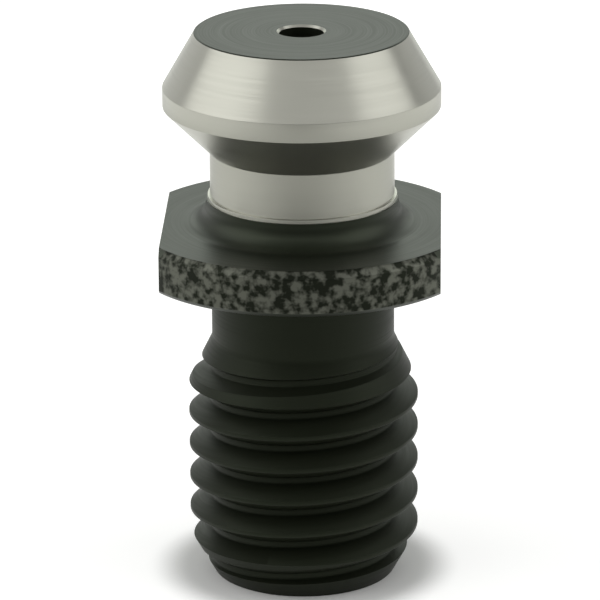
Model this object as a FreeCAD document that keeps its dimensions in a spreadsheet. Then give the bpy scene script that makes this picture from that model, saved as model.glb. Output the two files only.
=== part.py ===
import FreeCAD, Part
import os
import Sketcher

# Pull stud (retention knob) for a 40-taper tool holder. It is turned from one bar, threaded, milled
# with two wrench flats, drilled through for coolant and blackened, and then ground on the neck and
# on the face that the drawbar pulls. The axis is Z, and +Z is up. It stands on the end of its
# thread, at Z = 0, with the wrench flats towards -X and +X. Lengths are in millimetres, and angles
# in degrees from the axis.

doc = FreeCAD.newDocument("pull_stud")

# ---------------------------------------------------------------- sizes
DRIVING = [
    ("overall_length", 38.10, "thread end to top of head"),
    ("head_height", 16.30, "flange seat to top of head"),
    ("pull_height", 11.26, "flange seat to the outer edge of the pull face"),
    ("flange_thickness", 3.10, "flange, seat to top"),
    ("flange_dia", 23.42, "flange"),
    ("flange_top_chamfer", 0.45, "chamfer round the flange's top"),
    ("flange_seat_chamfer", 0.33, "chamfer round the flange's seat"),
    ("flats_width", 18.70, "across the two wrench flats"),
    ("head_dia", 18.70, "head"),
    ("band_height", 1.27, "plain band round the head"),
    ("head_cone_angle", 30.0, "slope of the head above its band"),
    ("head_edge_break", 0.06, "chamfer round the head's top face"),
    ("pull_angle", 45.0, "slope of the pull face under the head"),
    ("neck_dia", 12.446, "ground neck"),
    ("grinding_stock", 0.277, "left by turning and ground off, on the radius"),
    ("neck_fillet", 1.60, "turned fillet from the neck to the flange"),
    ("ground_gap", 0.10, "from that fillet up to the foot of the grinding"),
    ("lip_height", 0.25, "lip left by the wheel at the foot of the neck"),
    ("lip_depth", 0.16, "that lip beyond the neck, on the radius"),
    ("wheel_reach", 1.0, "the grinding wheel's reach past the head, on the radius"),
    ("thread_dia", 15.644, "thread, over its crests"),
    ("threads_per_inch", 11.0, "right-hand unified coarse thread"),
    ("tool_start", 2.454, "start of the threading tool below the thread's end, on +X"),
    ("tool_exit", 2.30, "end of the threading tool above the foot of the relief"),
    ("end_chamfer_angle", 29.5, "slope of the chamfer on the thread's end"),
    ("relief_length", 5.03, "plain shank between the thread and the seat"),
    ("relief_depth", 0.21, "relief below the thread's root, on the radius"),
    ("runout_angle", 26.5, "slope of the cone on which the thread runs out"),
    ("runout_fillet", 1.0, "fillet from the relief to that cone"),
    ("coolant_dia", 3.0, "coolant hole, right through"),
    ("coolant_chamfer", 0.15, "chamfer on both mouths of the coolant hole"),
]

# The thread has 60 degree flanks, crests an eighth of the pitch wide, roots a sixth of it wide and
# a depth of 17/24 of its sharp triangle's height.
WORKED_OUT = [
    ("end_level", "=0"),
    ("seat_level", "=overall_length - head_height"),
    ("flange_level", "=seat_level + flange_thickness"),
    ("pull_level", "=seat_level + pull_height"),
    ("band_level", "=pull_level + band_height"),
    ("top_dia", "=head_dia - 2 * (overall_length - band_level) * tan(head_cone_angle)"),
    ("turned_neck_dia", "=neck_dia + 2 * grinding_stock"),
    ("turned_pull_level", "=pull_level - grinding_stock / sin(pull_angle)"),
    ("turned_neck_level",
     "=turned_pull_level - (head_dia - turned_neck_dia) / 2 / tan(pull_angle)"),
    ("neck_level", "=pull_level - (head_dia - neck_dia) / 2 / tan(pull_angle)"),
    ("ground_level", "=flange_level + neck_fillet + ground_gap"),
    ("lip_level", "=ground_level + lip_height"),
    ("lip_dia", "=neck_dia + 2 * lip_depth"),
    ("wheel_dia", "=head_dia + 2 * wheel_reach"),
    ("wheel_level", "=pull_level + wheel_reach / tan(pull_angle)"),
    ("flat_cut", "=flange_dia / 2 - flats_width / 2"),
    ("thread_pitch", "=25.4 / threads_per_inch"),
    ("thread_depth", "=thread_pitch * sqrt(3) / 2 * 17 / 24"),
    ("root_dia", "=thread_dia - 2 * thread_depth"),
    ("relief_dia", "=root_dia - 2 * relief_depth"),
    ("relief_level", "=seat_level - relief_length"),
    ("runout_level", "=relief_level - (thread_dia - relief_dia) / 2 / tan(runout_angle)"),
    ("chamfer_level", "=(thread_dia - relief_dia) / 2 / tan(end_chamfer_angle)"),
    ("tool_dia", "=thread_dia + thread_pitch / 12"),
    ("tool_root_low", "=-tool_start - thread_pitch / 12"),
    ("tool_root_high", "=-tool_start + thread_pitch / 12"),
    ("tool_mouth_low", "=tool_root_low - (tool_dia - root_dia) / 2 * tan(30)"),
    ("tool_mouth_high", "=tool_root_high + (tool_dia - root_dia) / 2 * tan(30)"),
    ("tool_travel", "=tool_start + relief_level + tool_exit"),
]

sizes = doc.addObject("Spreadsheet::Sheet", "Sizes")
for row, (name, content, *note) in enumerate(DRIVING + WORKED_OUT, start=1):
    sizes.set(f"A{row}", name)
    sizes.set(f"B{row}", str(content))
    sizes.setAlias(f"B{row}", name)
    sizes.set(f"C{row}", note[0] if note else "worked out")
doc.recompute()

stud = doc.addObject("PartDesign::Body", "pull_stud")
stud.Label = "pull_stud"


# ---------------------------------------------------------------- helpers
def size(name):
    """The present value of one of the sheet's sizes."""
    return float(getattr(sizes, name))


def origin_plane(role):
    """One of the planes of the body's own origin."""
    return next(item for item in stud.Origin.OriginFeatures if item.Role == role)


def new_sketch(name, plane, level=None):
    """A sketch on one of the origin planes, raised to a level of the sheet if one is given."""
    sketch = stud.newObject("Sketcher::SketchObject", name)
    sketch.AttachmentSupport = [(origin_plane(plane), "")]
    sketch.MapMode = "FlatFace"
    if level:
        sketch.setExpression("AttachmentOffset.Base.z", f"Sizes.{level}")
    return sketch


def draw_outline(sketch, corners):
    """A closed outline of straight lines through the corners, each line joined to the next."""
    count = len(corners)
    for i in range(count):
        sketch.addGeometry(Part.LineSegment(corners[i], corners[(i + 1) % count]), False)
    for i in range(count):
        sketch.addConstraint(Sketcher.Constraint("Coincident", i, 2, (i + 1) % count, 1))


def hold(sketch, kind, line, here, formula):
    """Hold the start of one line at a distance from the sketch's axes, by a formula."""
    number = sketch.addConstraint(Sketcher.Constraint(kind, -1, 1, line, 1, here))
    name = f"line{line + 1}_{kind}"
    sketch.renameConstraint(number, name)
    sketch.setExpression(f".Constraints.{name}", formula)


def lathe_section(name, corners):
    """Half of a round section, beside the axis, from its (diameter, level) corners."""
    sketch = new_sketch(name, "XZ_Plane")
    places = [FreeCAD.Vector(0 if dia == ON_AXIS else size(dia) / 2, size(level), 0)
              for dia, level in corners]
    draw_outline(sketch, places)
    for line, (dia, level) in enumerate(corners):
        if dia == ON_AXIS:
            sketch.addConstraint(Sketcher.Constraint("PointOnObject", line, 1, -2))
        else:
            hold(sketch, "DistanceX", line, places[line].x, f"Sizes.{dia} / 2")
        hold(sketch, "DistanceY", line, places[line].y, f"Sizes.{level}")
    return sketch


def spin(kind, name, section):
    """A full turn of a section about the axis, which adds (Revolution) or cuts (Groove)."""
    feature = stud.newObject(f"PartDesign::{kind}", name)
    feature.Profile = section
    feature.ReferenceAxis = (section, ["V_Axis"])
    feature.Angle = 360
    return finish(feature)


def round_edges(feature, dia, level):
    """The names of a feature's round edges of this diameter at this level."""
    return [f"Edge{number}" for number, edge in enumerate(feature.Shape.Edges, start=1)
            if isinstance(edge.Curve, Part.Circle)
            and abs(edge.Curve.Radius - size(dia) / 2) < 1e-4
            and abs(edge.Curve.Center.z - size(level)) < 1e-4]


def ease(kind, name, dia, *levels):
    """A Fillet or a Chamfer of the size that bears its name, on the round edges at these levels."""
    base = stud.Tip
    feature = stud.newObject(f"PartDesign::{kind}", name)
    feature.Base = (base, sum((round_edges(base, dia, level) for level in levels), []))
    feature.setExpression("Radius" if kind == "Fillet" else "Size", f"Sizes.{name}")
    return finish(feature)


def finish(feature):
    """Recompute, and stop if the feature has failed or has changed nothing."""
    stud.Tip = feature
    doc.recompute()
    bad = [state for state in feature.State if state in ("Invalid", "Error")]
    if bad or feature.Shape.isNull() or not feature.Shape.isValid():
        raise ValueError(f"{feature.Name} failed: {feature.State}")
    base = feature.BaseFeature
    change = feature.Shape.Volume - (base.Shape.Volume if base else 0)
    if abs(change) < 1e-3:
        raise ValueError(f"{feature.Name} changed nothing")
    print(f"{feature.Name:22s} {change:+10.2f} mm3")
    return feature


ON_AXIS = "on_axis"

# ---------------------------------------------------------------- turned bar
spin("Revolution", "turned_bar", lathe_section("turned_section", [
    (ON_AXIS, "end_level"),
    ("relief_dia", "end_level"),
    ("thread_dia", "chamfer_level"),
    ("thread_dia", "runout_level"),
    ("relief_dia", "relief_level"),
    ("relief_dia", "seat_level"),
    ("flange_dia", "seat_level"),
    ("flange_dia", "flange_level"),
    ("turned_neck_dia", "flange_level"),
    ("turned_neck_dia", "turned_neck_level"),
    ("head_dia", "turned_pull_level"),
    ("head_dia", "band_level"),
    ("top_dia", "overall_length"),
    (ON_AXIS, "overall_length"),
]))
ease("Fillet", "neck_fillet", "turned_neck_dia", "flange_level")
ease("Fillet", "runout_fillet", "relief_dia", "relief_level")
ease("Chamfer", "flange_top_chamfer", "flange_dia", "flange_level")
ease("Chamfer", "flange_seat_chamfer", "flange_dia", "seat_level")
ease("Chamfer", "head_edge_break", "top_dia", "overall_length")

# ---------------------------------------------------------------- thread
# The tool's section starts in the air below the end face, climbs one pitch a turn at full depth,
# and leaves the metal by itself on the run-out cone, because the relief lies below the root.
thread_tool = lathe_section("thread_tool", [
    ("root_dia", "tool_root_low"),
    ("tool_dia", "tool_mouth_low"),
    ("tool_dia", "tool_mouth_high"),
    ("root_dia", "tool_root_high"),
])
thread = stud.newObject("PartDesign::SubtractiveHelix", "thread")
thread.Profile = thread_tool
thread.ReferenceAxis = (thread_tool, ["V_Axis"])
thread.Mode = "pitch-height-angle"
thread.HasBeenEdited = True
thread.setExpression("Pitch", "Sizes.thread_pitch")
thread.setExpression("Height", "Sizes.tool_travel")
finish(thread)

# ---------------------------------------------------------------- wrench flats
# One flat is milled down through the flange, on +X, and mirrored to -X.
flat_window = new_sketch("flat_window", "XY_Plane", level="flange_level")
window_corners = [
    ("flats_width", -1),
    ("flange_dia", -1),
    ("flange_dia", 1),
    ("flats_width", 1),
]
draw_outline(flat_window, [FreeCAD.Vector(size(width) / 2, side * size("flange_dia") / 2, 0)
                           for width, side in window_corners])
for line, (width, side) in enumerate(window_corners):
    hold(flat_window, "DistanceX", line, size(width) / 2, f"Sizes.{width} / 2")
    hold(flat_window, "DistanceY", line, side * size("flange_dia") / 2,
         f"{side} * Sizes.flange_dia / 2")
flat = stud.newObject("PartDesign::Pocket", "wrench_flat")
flat.Profile = flat_window
flat.setExpression("Length", "Sizes.flange_thickness")
finish(flat)
other_flat = stud.newObject("PartDesign::Mirrored", "other_wrench_flat")
other_flat.Originals = [flat]
other_flat.MirrorPlane = (origin_plane("YZ_Plane"), [""])
finish(other_flat)

# ---------------------------------------------------------------- coolant hole
hole_circle = new_sketch("hole_circle", "XY_Plane", level="overall_length")
hole_circle.addGeometry(Part.Circle(FreeCAD.Vector(0, 0, 0), FreeCAD.Vector(0, 0, 1),
                                    size("coolant_dia") / 2), False)
hole_circle.addConstraint(Sketcher.Constraint("Coincident", 0, 3, -1, 1))
number = hole_circle.addConstraint(Sketcher.Constraint("Diameter", 0, size("coolant_dia")))
hole_circle.renameConstraint(number, "bore")
hole_circle.setExpression(".Constraints.bore", "Sizes.coolant_dia")
hole = stud.newObject("PartDesign::Pocket", "coolant_hole")
hole.Profile = hole_circle
hole.Type = "ThroughAll"
finish(hole)
ease("Chamfer", "coolant_chamfer", "coolant_dia", "end_level", "overall_length")

# ---------------------------------------------------------------- grinding
# The wheel takes the neck and the pull face together, and its worn corner leaves a low lip at the
# foot of the neck.
spin("Groove", "ground_neck", lathe_section("wheel_section", [
    ("neck_dia", "lip_level"),
    ("neck_dia", "neck_level"),
    ("wheel_dia", "wheel_level"),
    ("wheel_dia", "ground_level"),
    ("lip_dia", "ground_level"),
    ("lip_dia", "lip_level"),
]))

# ---------------------------------------------------------------- checks and export
for item in doc.Objects:
    if "Invalid" in item.State or "Error" in item.State:
        raise ValueError(f"{item.Name} is {item.State}")
shape = stud.Shape
if shape.isNull() or not shape.isValid() or len(shape.Solids) != 1:
    raise ValueError("the stud isn't one valid solid")
box = shape.optimalBoundingBox(False)
print(f"box {box.XLength:.3f} x {box.YLength:.3f} x {box.ZLength:.3f} mm, from Z {box.ZMin:.3f}")
print(f"volume {shape.Volume:.1f} mm3, {len(shape.Faces)} faces")

os.makedirs("parts", exist_ok=True)
shape.exportStep(f"parts/{stud.Label}.step")
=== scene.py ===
# %% [markdown]
# # A pull stud
#
# A pull stud screws into the small end of a tapered tool holder. The machine's drawbar grips it
# under the head and pulls the holder into the spindle. The real one is turned from one bar of
# alloy steel, threaded, milled with two wrench flats, drilled through for coolant, blackened, and
# then ground bright on the head, on the pull face under it and on the neck.
#
# This lesson makes it in the same order. It is one piece of steel, so it is one Blender object:
# a lathe job first, then the cuts, then the finishes, the studio and the camera.

from math import cos, degrees, hypot, pi, radians, sin, sqrt, tan

import bmesh
import bpy
from mathutils import Matrix, Vector


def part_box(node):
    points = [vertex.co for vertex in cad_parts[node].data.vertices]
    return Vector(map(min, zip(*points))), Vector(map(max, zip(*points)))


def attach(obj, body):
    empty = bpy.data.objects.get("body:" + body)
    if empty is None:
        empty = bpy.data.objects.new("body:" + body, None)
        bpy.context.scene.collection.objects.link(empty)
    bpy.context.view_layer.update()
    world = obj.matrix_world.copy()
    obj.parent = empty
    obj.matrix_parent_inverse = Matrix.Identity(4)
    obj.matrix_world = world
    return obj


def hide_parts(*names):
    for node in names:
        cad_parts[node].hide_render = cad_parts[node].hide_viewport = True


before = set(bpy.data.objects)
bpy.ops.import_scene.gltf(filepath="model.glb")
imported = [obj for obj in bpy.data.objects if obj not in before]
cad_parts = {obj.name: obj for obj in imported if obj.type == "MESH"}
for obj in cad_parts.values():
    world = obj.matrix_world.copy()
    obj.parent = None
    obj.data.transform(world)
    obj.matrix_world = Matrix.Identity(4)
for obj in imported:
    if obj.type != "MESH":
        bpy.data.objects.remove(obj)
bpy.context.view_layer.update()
cad_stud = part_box("pull_stud")
print("CAD box in mm:", [round(1000 * (high - low), 3) for low, high in zip(*cad_stud)])

# %% [markdown]
# ## Sizes
#
# Blender works in metres here, and the stud is only 38 mm tall, so every size below is written in
# millimetres and multiplied by MM where it is used. The stud stands on its thread at Z = 0, its
# axis is Z, and the wrench flats face -X and +X. The heights hang from the top of the CAD box, so
# that they follow the CAD part. The flange's radius is written out, and so are the chamfers.

# %% Sizes in millimetres
MM = 0.001
TOP = cad_stud[1].z / MM
SEAT = TOP - 16.30
FLANGE_TOP = SEAT + 3.10
PULL_EDGE = SEAT + 11.26
BAND_TOP = PULL_EDGE + 1.27
HEAD_R, NECK_R, TURNED_NECK_R = 9.35, 6.223, 6.5
TOP_R = HEAD_R - (TOP - BAND_TOP) * tan(radians(30))
GROUND_FOOT = FLANGE_TOP + 1.70
LIP_R, LIP_TOP = NECK_R + 0.16, GROUND_FOOT + 0.25
FLANGE_R = 11.71
FLATS = 18.70
PITCH = 25.4 / 11
CREST_R = 7.822
ROOT_R = CREST_R - PITCH * sqrt(3) / 2 * 17 / 24
SHANK_R = ROOT_R - 0.21
SHANK_FOOT = SEAT - 5.03
HOLE_R = 1.5
TOP_CHAMFER, SEAT_CHAMFER, HOLE_CHAMFER = 0.45, 0.33, 0.15
EDGE_ROUND = 0.05
print(f"seat at {SEAT:.3f}, flange {FLANGE_R:.2f}, thread root {ROOT_R:.3f}, pitch {PITCH:.3f} mm")

# %% [markdown]
# ## Small helpers
#
# An operator acts on whatever is selected, so each step first leaves one object selected, and in
# edit mode it then selects just the faces or edges that it needs, by their place. Two functions
# do that for the whole lesson.

# %% Selecting by place
def only(piece, mode="OBJECT"):
    """Leave one piece selected and active, in this mode."""
    if bpy.context.mode != "OBJECT":
        bpy.ops.object.mode_set(mode="OBJECT")
    bpy.ops.object.select_all(action="DESELECT")
    piece.select_set(True)
    bpy.context.view_layer.objects.active = piece
    bpy.ops.object.mode_set(mode=mode)


def pick(piece, parts, test):
    """In edit mode, select the faces or edges for which the test holds, and count them.

    The test is given the radius and height of each corner, in millimetres.
    """
    kind = {"faces": "FACE", "edges": "EDGE"}[parts]
    bpy.ops.mesh.select_mode(type=kind)
    bpy.ops.mesh.select_all(action="DESELECT")
    shape = bmesh.from_edit_mesh(piece.data)
    count = 0
    for part in getattr(shape, parts):
        corners = [(hypot(v.co.x, v.co.y) / MM, v.co.z / MM) for v in part.verts]
        if test(corners):
            part.select_set(True)
            count += 1
    shape.select_flush_mode()
    bmesh.update_edit_mesh(piece.data)
    return count


# %% [markdown]
# ## Turning the bar
#
# The real stud comes off a lathe, so its shape is a profile turned about the axis. Spin or a
# revolved curve would do, but pulling one ring of edges from diameter to diameter is closest to
# what the lathe does, and each ring stays where its number says. The ring starts at the lower
# mouth of the coolant hole, goes out and up over the outside, and comes back down the hole to
# where it began. 256 sides keep the outline round at any distance that the stud is looked at.

# %% Turn the profile, ring by ring
SIDES = 256
END_CHAMFER_TOP = (CREST_R - SHANK_R) / tan(radians(29.5))
RUNOUT_FOOT = SHANK_FOOT - (CREST_R - SHANK_R) / tan(radians(26.5))
PULL_FOOT = PULL_EDGE - (HEAD_R - NECK_R)
PROFILE = [
    (SHANK_R, 0), (CREST_R, END_CHAMFER_TOP), (CREST_R, RUNOUT_FOOT), (SHANK_R, SHANK_FOOT),
    (SHANK_R, SEAT), (FLANGE_R - SEAT_CHAMFER, SEAT), (FLANGE_R, SEAT + SEAT_CHAMFER),
    (FLANGE_R, FLANGE_TOP - TOP_CHAMFER), (FLANGE_R - TOP_CHAMFER, FLANGE_TOP),
    (TURNED_NECK_R, FLANGE_TOP),
    (TURNED_NECK_R, GROUND_FOOT), (LIP_R, GROUND_FOOT), (LIP_R, LIP_TOP), (NECK_R, LIP_TOP),
    (NECK_R, PULL_FOOT), (HEAD_R, PULL_EDGE), (HEAD_R, BAND_TOP),
    (TOP_R + 0.06 * tan(radians(30)), TOP - 0.06), (TOP_R - 0.06, TOP),
    (HOLE_R + HOLE_CHAMFER, TOP), (HOLE_R, TOP - HOLE_CHAMFER), (HOLE_R, HOLE_CHAMFER),
    (HOLE_R + HOLE_CHAMFER, 0),
]
bpy.ops.object.select_all(action="DESELECT")
radius, level = PROFILE[-1]
bpy.ops.mesh.primitive_circle_add(vertices=SIDES, radius=radius * MM, location=(0, 0, level * MM))
stud = bpy.context.active_object
stud.name = stud.data.name = "turned_stud"
only(stud, "EDIT")
bpy.ops.mesh.select_all(action="SELECT")
for next_radius, next_level in PROFILE:
    bpy.ops.mesh.extrude_edges_move(
        TRANSFORM_OT_translate={"value": (0, 0, (next_level - level) * MM)})
    grow = next_radius / radius
    bpy.ops.transform.resize(value=(grow, grow, 1), center_override=(0, 0, next_level * MM))
    radius, level = next_radius, next_level
bpy.ops.mesh.select_all(action="SELECT")
bpy.ops.mesh.remove_doubles(threshold=0.001 * MM)
bpy.ops.mesh.normals_make_consistent(inside=False)
bpy.ops.object.mode_set(mode="OBJECT")
print("turned:", len(stud.data.polygons), "faces")

# %% [markdown]
# ## Fillets and broken edges
#
# A lathe tool has a small nose radius, which leaves a fillet where the neck meets the flange.
# Nothing that is turned has a perfectly sharp edge either, and it is the small round on each
# edge that catches the light and makes steel look like steel. Bevel does both: it works on
# rings of edges that are selected by their radius and height.

# %% Round the rings
def round_rings(rings, width, steps):
    """Bevel the rings of edges at these (radius, height) places, width millimetres each way."""
    only(stud, "EDIT")
    count = pick(stud, "edges", lambda corners: any(
        all(abs(r - ring_r) < 0.003 and abs(z - ring_z) < 0.003 for r, z in corners)
        for ring_r, ring_z in rings))
    bpy.ops.mesh.bevel(offset=width * MM, segments=steps, profile=0.5, clamp_overlap=False)
    bpy.ops.object.mode_set(mode="OBJECT")
    print(f"rounded {count // SIDES} ring(s) by {width:.2f} mm")


round_rings([(TURNED_NECK_R, FLANGE_TOP)], 1.60, 12)
round_rings([(SHANK_R, SHANK_FOOT)], 1.0 * tan(radians(13.25)), 4)
round_rings([(FLANGE_R - TOP_CHAMFER, FLANGE_TOP), (FLANGE_R, FLANGE_TOP - TOP_CHAMFER),
             (FLANGE_R, SEAT + SEAT_CHAMFER), (FLANGE_R - SEAT_CHAMFER, SEAT)], EDGE_ROUND, 3)
round_rings([(NECK_R, PULL_FOOT), (SHANK_R, SEAT), (SHANK_R, 0)], 0.06, 3)
round_rings([(HEAD_R, PULL_EDGE), (HEAD_R, BAND_TOP), (LIP_R, GROUND_FOOT), (LIP_R, LIP_TOP),
             (NECK_R, LIP_TOP), (TURNED_NECK_R, GROUND_FOOT)], 0.015, 2)

# %% [markdown]
# ## Cutting the thread
#
# The thread is 5/8-11: 11 turns to the inch, 60 degree flanks, right-hand. It could be a spiral
# of extrusions, but then its start and its run-out would have to be modelled by hand. A real
# thread is cut with a pointed tool that climbs one pitch a turn, so here the tool's own section
# is drawn, the Screw modifier sweeps it up the bar, and a Boolean takes the swept tool out of the
# stud. The tool starts in the air below the end and leaves the metal by itself on the cone above
# the thread, because the shank there is thinner than the root. The section is a little wider at
# the mouth than plain flanks would be, which breaks the crests' edges, and its point is rounded.

# %% Sweep the threading tool
START = -2.454
mouth_r = CREST_R + PITCH / 12
flank = tan(radians(30))
half_root = PITCH / 12
half_crest = half_root + (CREST_R - ROOT_R) * flank
TOOL = [
    (ROOT_R + 0.060, half_root + 0.060 * flank), (ROOT_R + 0.016, half_root - 0.020),
    (ROOT_R, half_root - 0.075),
]
TOOL += [(r, -z) for r, z in reversed(TOOL)]
TOOL += [
    (CREST_R - 0.045, -half_crest + 0.045 * flank), (CREST_R - 0.012, -half_crest - 0.008),
    (CREST_R + 0.001, -half_crest - 0.045), (mouth_r, -half_crest - 0.3),
    (mouth_r, half_crest + 0.3), (CREST_R + 0.001, half_crest + 0.045),
    (CREST_R - 0.012, half_crest + 0.008), (CREST_R - 0.045, half_crest - 0.045 * flank),
]
tool_mesh = bpy.data.meshes.new("threading_tool")
tool_mesh.from_pydata([(r * MM, 0, (START + z) * MM) for r, z in TOOL],
                      [(i, (i + 1) % len(TOOL)) for i in range(len(TOOL))], [])
tool = bpy.data.objects.new("threading_tool", tool_mesh)
bpy.context.scene.collection.objects.link(tool)
only(tool)
EXIT = SHANK_FOOT + 2.30
steps = round((EXIT - START) / PITCH * SIDES)
climb = tool.modifiers.new("climb", "SCREW")
climb.axis = "Z"
climb.angle = 2 * pi * steps / SIDES
climb.screw_offset = PITCH * MM * steps / SIDES
climb.steps = climb.render_steps = steps
climb.use_smooth_shade = False
bpy.ops.object.modifier_apply(modifier="climb")
bpy.ops.object.mode_set(mode="EDIT")
bpy.ops.mesh.select_all(action="DESELECT")
bpy.ops.mesh.select_non_manifold()
bpy.ops.mesh.fill()
bpy.ops.mesh.select_all(action="SELECT")
bpy.ops.mesh.normals_make_consistent(inside=False)
bpy.ops.object.mode_set(mode="OBJECT")
print(f"tool climbs {steps / SIDES:.2f} turns, {len(tool.data.polygons)} faces")

# %% Cut with a tool
def cut(piece, cutter):
    """Take the cutter out of the piece with a Boolean, and throw the cutter away."""
    only(piece)
    before = len(piece.data.polygons)
    boolean = piece.modifiers.new("cut", "BOOLEAN")
    boolean.operation = "DIFFERENCE"
    boolean.solver = "EXACT"
    boolean.object = cutter
    bpy.ops.object.modifier_apply(modifier="cut")
    print(f"{cutter.name}: {before} faces became {len(piece.data.polygons)}")
    bpy.data.objects.remove(cutter)


cut(stud, tool)

# %% [markdown]
# ## Milling the wrench flats
#
# Two flats, 18.7 mm apart, take a 3/4 inch spanner. They are milled straight down through the
# flange after turning, so they cut through its chamfers and leave crisp edges.

# %% Mill the flats
for side in (-1, 1):
    bpy.ops.object.select_all(action="DESELECT")
    bpy.ops.mesh.primitive_cube_add(
        size=1, location=(side * (FLATS / 2 + 2) * MM, 0, (SEAT + FLANGE_TOP) / 2 * MM),
        scale=(4 * MM, 30 * MM, (FLANGE_TOP - SEAT + 0.4) * MM))
    mill = bpy.context.active_object
    mill.name = "end_mill"
    cut(stud, mill)

# %% [markdown]
# ## The camera
#
# A long lens stands about a third of a metre away and looks down at 18 degrees. The camera is
# first placed on its own axis, a touch to one
# side, then turned round the stud, so each number can be changed alone.

# %% Camera
ELEVATION, TURN, ROLL = radians(18.4345), radians(1.81), radians(-0.3465)
AIM_HEIGHT, DISTANCE, SIDE_STEP = 19.1904, 322.30, -0.2005
camera_data = bpy.data.cameras.new("camera")
camera_data.sensor_width = 36
camera_data.lens = 4745.5 / 600 * 36
camera_data.clip_start, camera_data.clip_end = 0.01, 10
camera = bpy.data.objects.new("camera", camera_data)
bpy.context.scene.collection.objects.link(camera)
bpy.context.scene.camera = camera
turn = Matrix.Rotation(TURN, 4, "Z")
place = Matrix.Translation((SIDE_STEP * MM, -DISTANCE * cos(ELEVATION) * MM,
                            (AIM_HEIGHT + DISTANCE * sin(ELEVATION)) * MM))
tilt = Matrix.Rotation(pi / 2 - ELEVATION, 4, "X")
camera.matrix_world = turn @ place @ tilt @ Matrix.Rotation(ROLL, 4, "Z")
print(f"camera {DISTANCE:.0f} mm away, {degrees(ELEVATION):.1f} degrees up")

# %% [markdown]
# ## Finishes
#
# Colours are sRGB hex values, as a paint chart gives them, and one function turns them into the
# linear values that Blender mixes light with. Another adds a node with its settings and links,
# which keeps each finish short enough to read. The third gives coordinates that run round the
# axis, because every mark on a turned or ground part is a ring.

# %% Colour and node helpers
def linear(hex_colour):
    """An sRGB hex colour as linear red, green, blue and alpha."""
    parts = [int(hex_colour[i:i + 2], 16) / 255 for i in (1, 3, 5)]
    return [c / 12.92 if c < 0.04045 else ((c + 0.055) / 1.055) ** 2.4 for c in parts] + [1]


def add_node(material, kind, settings=None, links=None):
    """Add one node, set its fields and free inputs, and link inputs to other nodes' outputs."""
    node = material.node_tree.nodes.new(kind)
    for name, value in (settings or {}).items():
        if isinstance(name, str) and hasattr(node, name):
            setattr(node, name, value)
        else:
            node.inputs[name].default_value = value
    for name, source in (links or {}).items():
        material.node_tree.links.new(source, node.inputs[name])
    return node


def new_finish(name, settings):
    """A material with its Principled BSDF set, and that node to link to."""
    material = bpy.data.materials.new(name)
    material.use_nodes = True
    surface = material.node_tree.nodes["Principled BSDF"]
    for key, value in settings.items():
        surface.inputs[key].default_value = value
    return material, surface


def tool_path(material, across, along):
    """Coordinates for marks that go round the axis: fine across them, slow along them.

    across and along are the marks' sizes in millimetres. The first two parts are the radius and
    the height, so the marks are rings on a flat face and hoops on a wall.
    """
    place = add_node(material, "ShaderNodeTexCoord")
    split = add_node(material, "ShaderNodeSeparateXYZ", links={0: place.outputs["Object"]})
    flat = add_node(material, "ShaderNodeCombineXYZ",
                    links={"X": split.outputs["X"], "Y": split.outputs["Y"]})
    radius = add_node(material, "ShaderNodeVectorMath", {"operation": "LENGTH"},
                      {0: flat.outputs[0]})
    fine, slow = 1 / (across * MM), 1 / (along * MM)
    sizes = {}
    for name, source, scale in (("radius", radius.outputs["Value"], fine),
                                ("height", split.outputs["Z"], fine),
                                ("x", split.outputs["X"], slow), ("y", split.outputs["Y"], slow)):
        sizes[name] = add_node(material, "ShaderNodeMath", {"operation": "MULTIPLY", 1: scale},
                               {0: source}).outputs[0]
    both = add_node(material, "ShaderNodeMath", {"operation": "ADD"},
                    {0: sizes["radius"], 1: sizes["height"]})
    return add_node(material, "ShaderNodeCombineXYZ", links={
        "X": both.outputs[0], "Y": sizes["x"], "Z": sizes["y"]}).outputs[0]


def step_marks(material, surface, across, smooth, rough, depth):
    """Let marks round the axis change the roughness and raise a shallow bump, in millimetres."""
    marks = add_node(material, "ShaderNodeTexNoise", {"Scale": 1.0, "Detail": 3.0, "Roughness": 0.6},
                     {"Vector": tool_path(material, across, 9.0)})
    spread = add_node(material, "ShaderNodeMapRange",
                      {"From Min": 0.3, "From Max": 0.7, "To Min": smooth, "To Max": rough},
                      {"Value": marks.outputs["Fac"]})
    bump = add_node(material, "ShaderNodeBump", {"Strength": 0.5, "Distance": depth * MM},
                    {"Height": marks.outputs["Fac"]})
    material.node_tree.links.new(spread.outputs[0], surface.inputs["Roughness"])
    material.node_tree.links.new(bump.outputs[0], surface.inputs["Normal"])


# %% [markdown]
# ### Ground steel
#
# A fine wheel grinds the head, the pull face and the neck bright. Its grit leaves scratches round
# the axis, a few hundredths of a millimetre apart, so light spreads more along the axis than
# round it. That is what the anisotropy is for, with the tangent going round Z.

# %% Ground steel
# Bare hardened alloy steel, ground by a fine wheel after blackening: grey, faintly warm.
ground_steel, surface = new_finish("ground_steel", {
    "Base Color": linear("#AFAFA5"), "Metallic": 1.0, "Anisotropic": 0.4,
    "Anisotropic Rotation": 0.25})
step_marks(ground_steel, surface, 0.06, 0.29, 0.38, 0.0018)
round_axis = add_node(ground_steel, "ShaderNodeTangent", {"direction_type": "RADIAL", "axis": "Z"})
ground_steel.node_tree.links.new(round_axis.outputs[0], surface.inputs["Tangent"])

# %% [markdown]
# ### Black oxide
#
# The rest is blackened in a hot bath that turns the steel's own surface to a dark oxide, about a
# micrometre thick. It hides the metal's colour but not its shape, so the turning marks still
# show. It isn't paint and it isn't bare metal: a dark coat with a weak, slightly green shine.
# The thread is rougher from its tool and shines less. The flange's wall and its upper chamfer are
# shown worn through the coat in patches, where only their edges should be. See the note further on.

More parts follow.
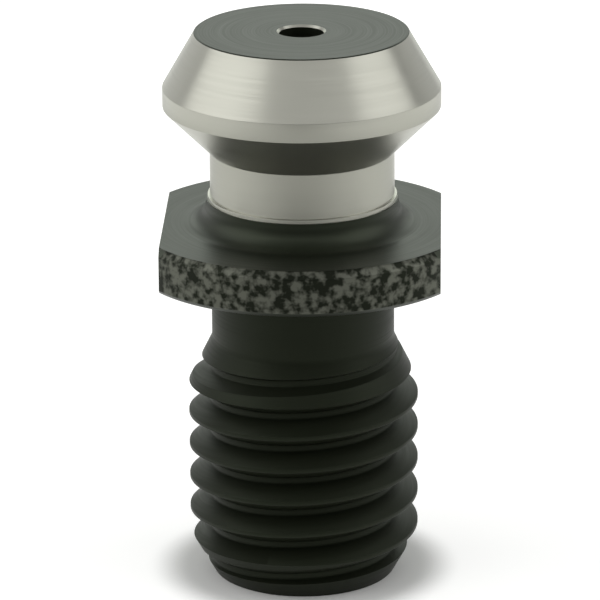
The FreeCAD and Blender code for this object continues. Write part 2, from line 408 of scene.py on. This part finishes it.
# %% Black oxide
def black_oxide(name, colour, ior, across, smooth, rough):
    """Black oxide on bare machined steel: a dark coat that shows the tool's marks below it."""
    coat, surface = new_finish(name, {
        "Base Color": linear(colour), "Metallic": 0.0, "IOR": ior,
        "Specular Tint": (0.87, 1.0, 0.73, 1.0)})
    step_marks(coat, surface, across, smooth, rough, 0.002)
    return coat


# The full coat on the finely turned flange, the head's top face and the hole.
turned_black = black_oxide("black_oxide_on_fine_turned_steel", "#0F120B", 1.45, 0.11, 0.38, 0.46)
# The same coat on the threaded shank, whose rougher surface scatters more and shines less.
thread_black = black_oxide("black_oxide_on_threaded_shank", "#171A12", 1.30, 0.09, 0.42, 0.52)
# The coat rubbed thin by handling, so more of the steel's shine comes through.
rubbed_black = black_oxide("black_oxide_rubbed_thin", "#121510", 1.62, 0.11, 0.38, 0.46)
# Steel worn through the coat in patches, some tenths of a millimetre long each.
worn_edge, surface = new_finish("steel_worn_through_black_oxide", {
    "Metallic": 1.0, "Roughness": 0.42})
place = add_node(worn_edge, "ShaderNodeTexCoord")
patches = add_node(worn_edge, "ShaderNodeTexNoise", {"Scale": 1 / (0.6 * MM), "Detail": 2.0},
                   {"Vector": place.outputs["Object"]})
wear = add_node(worn_edge, "ShaderNodeMapRange", {"From Min": 0.42, "From Max": 0.62},
                {"Value": patches.outputs["Fac"]})
bare = add_node(worn_edge, "ShaderNodeMix", {
    "data_type": "RGBA", 6: linear("#23261F"), 7: linear("#62645B")}, {0: wear.outputs[0]})
worn_edge.node_tree.links.new(bare.outputs[2], surface.inputs["Base Color"])
print("finishes:", [m.name for m in bpy.data.materials])

# %% [markdown]
# ## Putting the finishes on
#
# The wheel reaches the neck down to the little lip above its foot, so that is where bright meets
# black. Faces are picked by radius and height, and later rows of the list win over earlier ones.
# The rounded edges are shaded smooth, and the normals are weighted by area, so the wide faces
# stay true and only the narrow rounds bend the light.
#
# A fault is left in the last row. Its test takes each corner alone, so a face whose corners lie at
# two different rings passes too. It therefore picks the whole flange wall and upper chamfer, and
# not just the rounded edges, and the rubbed finish of the row before it is covered up.

# %% Put the finishes on
stud.data.materials.clear()
for finish in (turned_black, thread_black, ground_steel, rubbed_black, worn_edge):
    stud.data.materials.append(finish)
only(stud, "EDIT")


def near(*rings):
    """A test for a corner that lies at any one of these rings, given as (radius, height)."""
    return lambda r, z: any(hypot(r - ring_r, z - ring_z) < 0.056 for ring_r, ring_z in rings)


AREAS = [
    (1, lambda r, z: z < SEAT + 0.03 and r < CREST_R + 0.1),
    (2, lambda r, z: LIP_TOP - 0.30 < z < LIP_TOP + 0.02 and NECK_R - 0.01 < r < LIP_R + 0.03),
    (2, lambda r, z: LIP_TOP - 0.01 < z < TOP - 0.05 and r > NECK_R - 0.01),
    (2, lambda r, z: z > TOP - 0.16 and r < HOLE_R + 0.16),
    (3, lambda r, z: FLANGE_TOP - 0.43 < z < FLANGE_TOP - 0.01 and r > FLANGE_R - 0.44),
    (4, near((FLANGE_R - TOP_CHAMFER, FLANGE_TOP), (FLANGE_R, FLANGE_TOP - TOP_CHAMFER),
             (FLANGE_R, SEAT + SEAT_CHAMFER))),
]
for slot, inside in AREAS:
    count = pick(stud, "faces", lambda corners: all(inside(r, z) for r, z in corners))
    stud.active_material_index = slot
    bpy.ops.object.material_slot_assign()
    print(f"{stud.data.materials[slot].name}: {count} faces")
only(stud)
bpy.ops.object.shade_smooth_by_angle(angle=radians(20))
weights = stud.modifiers.new("weights", "WEIGHTED_NORMAL")
weights.keep_sharp = True
bpy.ops.object.modifier_apply(modifier="weights")

# %% [markdown]
# ## The floor
#
# The stud stands on a pale sheet of acrylic. Its middle has a painted glow, its own emission and
# not a lamp, so it looks white behind the stud without lamps that would bleach the steel. The
# painted glow stops short of the foot and in front of it, where it would light the thread from
# below, so the thread mirrors a darker floor there. Far out on both sides the sheet has painted glow
# again, out of
# sight: the band and the neck mirror it there as a painted reflection, since a wall seen from above
# reflects the floor.

# %% Floor
bpy.ops.object.select_all(action="DESELECT")
bpy.ops.mesh.primitive_plane_add(size=6)
floor = bpy.context.active_object
floor.name = "floor"
# Opal white acrylic sheet, matt on top; its emission is painted glow, not light from below.
acrylic_with_painted_glow, surface = new_finish("white_acrylic_with_painted_glow", {
    "Base Color": linear("#EEEEEC"), "Roughness": 0.9, "Emission Color": linear("#FFFFFF")})
spot = add_node(acrylic_with_painted_glow, "ShaderNodeTexCoord")
axes = add_node(acrylic_with_painted_glow, "ShaderNodeSeparateXYZ", links={0: spot.outputs["Object"]})
reach = add_node(acrylic_with_painted_glow, "ShaderNodeVectorMath", {"operation": "LENGTH"},
                 {0: spot.outputs["Object"]}).outputs["Value"]
aside = add_node(acrylic_with_painted_glow, "ShaderNodeMath", {"operation": "ABSOLUTE"},
                 {0: axes.outputs["X"]}).outputs[0]


def ramp(source, start, end, low, high):
    """A soft ramp from low to high while the source goes from start to end, in millimetres."""
    return add_node(acrylic_with_painted_glow, "ShaderNodeMapRange", {
        "interpolation_type": "SMOOTHSTEP", "From Min": start * MM, "From Max": end * MM,
        "To Min": low, "To Max": high}, {"Value": source}).outputs[0]


def combine(operation, first, second):
    """One math node on two outputs."""
    return add_node(acrylic_with_painted_glow, "ShaderNodeMath", {"operation": operation},
                    {0: first, 1: second}).outputs[0]


# Painted glow in the middle: none within about 8 mm of the foot and none in front of it.
middle = combine("MULTIPLY", ramp(axes.outputs["Y"], -19, -10, 0, 1), ramp(reach, 7.8, 11, 0, 0.5))
middle = combine("MULTIPLY", middle, ramp(aside, 26, 50, 1, 0))
# Painted glow far out at the sides, out of sight, for the band and the neck to mirror.
sides = combine("ADD", ramp(aside, 25, 120, 0, 0.5), ramp(reach, 95, 120, 0, 0.1))
glow = combine("ADD", middle, sides)
acrylic_with_painted_glow.node_tree.links.new(glow, surface.inputs["Emission Strength"])
floor.data.materials.append(acrylic_with_painted_glow)

# %% [markdown]
# ## Studio light
#
# Polished metal shows the room, so the lights are placed by what the head sees. Two tall
# softboxes at the sides make the broad bright bands on the cone, with dimmer ones behind them. A
# low one in front fills the middle of the cone and a narrow one overhead picks out the flange's
# chamfer. The one at the back makes the flat top and the flange's top shine.

# %% Studio light
HEAD = Vector((0, 0, 34 * MM))


def soft_light(name, side, height, distance, wide, tall, brightness, tint=(1, 1, 1)):
    """A softbox that faces the head, given by the angles at which the head sees it.

    side is its angle round the axis from the camera, height its angle above the head, and wide and
    tall are the angles that it fills, all in degrees. distance is in millimetres. brightness is how
    bright its cloth looks, where 1 would make white paper that fills the view white.
    """
    data = bpy.data.lights.new(name, "AREA")
    data.shape = "RECTANGLE"
    data.size = 2 * distance * MM * tan(radians(wide / 2))
    data.size_y = 2 * distance * MM * tan(radians(tall / 2))
    data.energy = 4 * brightness * data.size * data.size_y
    data.color = tint
    light = bpy.data.objects.new(name, data)
    bpy.context.scene.collection.objects.link(light)
    away = Vector((sin(radians(side)) * cos(radians(height)),
                   -cos(radians(side)) * cos(radians(height)), sin(radians(height))))
    light.location = HEAD + away * distance * MM
    light.rotation_euler = (-away).to_track_quat("-Z", "Y").to_euler()
    return light


soft_light("left_softbox", -82, 35, 500, 60, 46, 1.24)
soft_light("right_softbox", 84, 35, 500, 50, 46, 1.12)
soft_light("left_rear_softbox", -134, 14, 600, 30, 30, 0.5)
soft_light("right_rear_softbox", 134, 14, 600, 30, 30, 0.4)
soft_light("front_softbox", 0, 46, 600, 70, 24, 0.72)
soft_light("top_softbox", 0, 78, 500, 60, 20, 0.5)
soft_light("back_softbox", 180, 20, 700, 58, 26, 1.25, tint=(0.94, 1.0, 0.93))
world = bpy.data.worlds.new("studio")
bpy.context.scene.world = world
world.use_nodes = True
world.node_tree.nodes["Background"].inputs["Color"].default_value = (0.15, 0.15, 0.15, 1)
bpy.context.scene.view_settings.view_transform = "Standard"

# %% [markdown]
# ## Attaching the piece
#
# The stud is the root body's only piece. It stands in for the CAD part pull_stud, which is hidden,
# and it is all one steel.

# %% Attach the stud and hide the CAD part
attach(stud, "root")
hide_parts("pull_stud")
